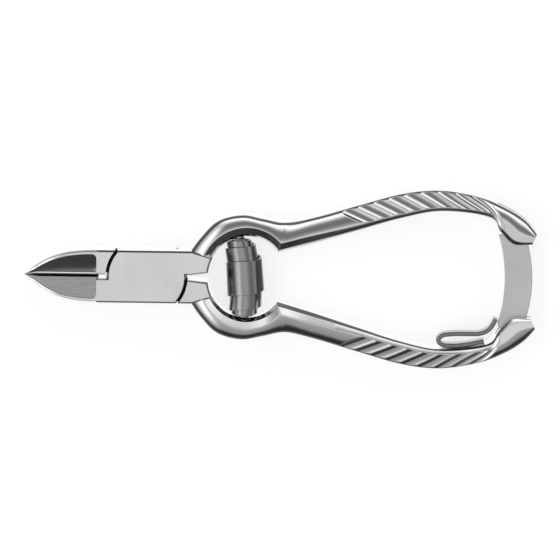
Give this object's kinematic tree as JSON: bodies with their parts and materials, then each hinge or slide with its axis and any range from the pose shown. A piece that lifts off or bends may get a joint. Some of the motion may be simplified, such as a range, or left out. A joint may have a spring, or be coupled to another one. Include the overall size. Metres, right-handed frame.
{
  "type": "toenail nipper",
  "caption": "Hand nipper for thick toenails: crossed levers on a lap joint, hollow-ground jaws, a barrel spring between ridged handles and a swinging strap latch.",
  "frame": {"origin": "on the axis of the joint rivet, in the flat back face of the joint", "axes": "+X from the joint towards the handle ends, +Y towards the upper handle, +Z out of the joint's front face; the nipper lies on its back with the handles closed"},
  "size_m": [0.14, 0.0492, 0.0107],
  "materials": {
    "polished_steel": "mirror polished, with a fine vertical grain on the flat joint plates",
    "satin_steel": "satin",
    "spring_steel": "bright spring strip"
  },
  "bodies": {
    "front": {"front_lever": "polished_steel", "joint_rivet": "satin_steel", "upper_spring_peg": "spring_steel", "catch_pin": "satin_steel", "barrel_spring": "spring_steel"},
    "back": {"back_lever": "polished_steel", "lower_spring_peg": "spring_steel", "latch_pin": "satin_steel", "latch_spring": "spring_steel"},
    "latch": {"latch_strap": "satin_steel"}
  },
  "joints": [
    {"name": "handle_open", "type": "hinge", "parent": "front", "child": "back", "pos_m": [0, 0, 0.00505], "axis": [0, 0, -1], "range_deg": [0, 16], "deforming": ["barrel_spring"]},
    {"name": "latch_swing", "type": "hinge", "parent": "back", "child": "latch", "pos_m": [0.1003, -0.0143, 0.00505], "axis": [0, 0, -1], "range_deg": [0, 95]}
  ]
}
